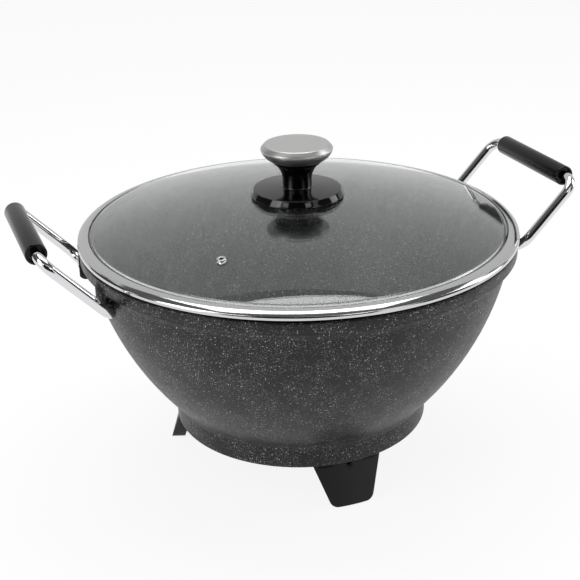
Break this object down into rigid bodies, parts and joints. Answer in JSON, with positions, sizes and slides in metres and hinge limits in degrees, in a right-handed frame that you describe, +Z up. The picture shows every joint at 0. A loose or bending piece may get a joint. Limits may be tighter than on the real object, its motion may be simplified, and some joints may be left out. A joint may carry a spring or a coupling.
{
  "type": "electric wok",
  "caption": "Free-standing electric wok: a coated round bowl on a skirted base with splayed feet, wire handles with tube grips, and a lift-off glass lid with a central knob.",
  "frame": {"origin": "on the floor, under the axis of the bowl", "axes": "+X through the right handle, -Y towards the front foot, +Z up"},
  "size_m": [0.4584, 0.36, 0.2716],
  "materials": {
    "stone_coat": "satin stone-look non-stick coat, charcoal with fine pale speckles",
    "lid_glass": "clear toughened glass",
    "polished_steel": "polished stainless steel",
    "brushed_steel": "brushed",
    "gloss_black": "gloss",
    "grip_black": "semi-gloss",
    "matte_black": "satin",
    "chrome": "mirror chrome",
    "silicone": "matt, translucent",
    "pad_rubber": "matt",
    "brass": "machined",
    "screw_steel": "zinc plated",
    "sheath_steel": "drawn tube, matt",
    "ceramic": "matt",
    "shield_aluminium": "mill finish"
  },
  "bodies": {
    "base": {"pan": "stone_coat", "right_handle_wire": "chrome", "left_handle_wire": "chrome", "handle_screws": "screw_steel", "heating_element": "sheath_steel", "terminal_pins": "brass", "element_insulators": "ceramic", "probe_sleeve": "sheath_steel", "element_clamp": "screw_steel", "clamp_screws": "screw_steel", "heat_shield": "shield_aluminium", "base_plate": "matte_black", "base_screws": "screw_steel", "inlet_shroud": "matte_black", "foot_front": "matte_black", "pad_front": "pad_rubber", "foot_right": "matte_black", "pad_right": "pad_rubber", "foot_left": "matte_black", "pad_left": "pad_rubber"},
    "lid": {"lid_glass": "lid_glass", "lid_ring": "polished_steel", "lid_seal": "silicone", "vent_eyelet": "polished_steel", "knob_base": "gloss_black", "knob_cap": "brushed_steel", "knob_insert": "brass", "knob_screw": "screw_steel", "knob_pad": "silicone", "knob_gasket": "silicone", "knob_washer": "screw_steel"},
    "right_grip": {"right_grip": "grip_black"},
    "left_grip": {"left_grip": "grip_black"}
  },
  "joints": [
    {"name": "lid_lift", "type": "slide", "parent": "base", "child": "lid", "axis": [0, 0, 1], "range_m": [0, 0.12]},
    {"name": "right_grip_spin", "type": "hinge", "parent": "base", "child": "right_grip", "pos_m": [0.22092, 0, 0.22908], "axis": [0, 1, 0], "continuous": true},
    {"name": "left_grip_spin", "type": "hinge", "parent": "base", "child": "left_grip", "pos_m": [-0.22092, 0, 0.22908], "axis": [0, 1, 0], "continuous": true}
  ]
}
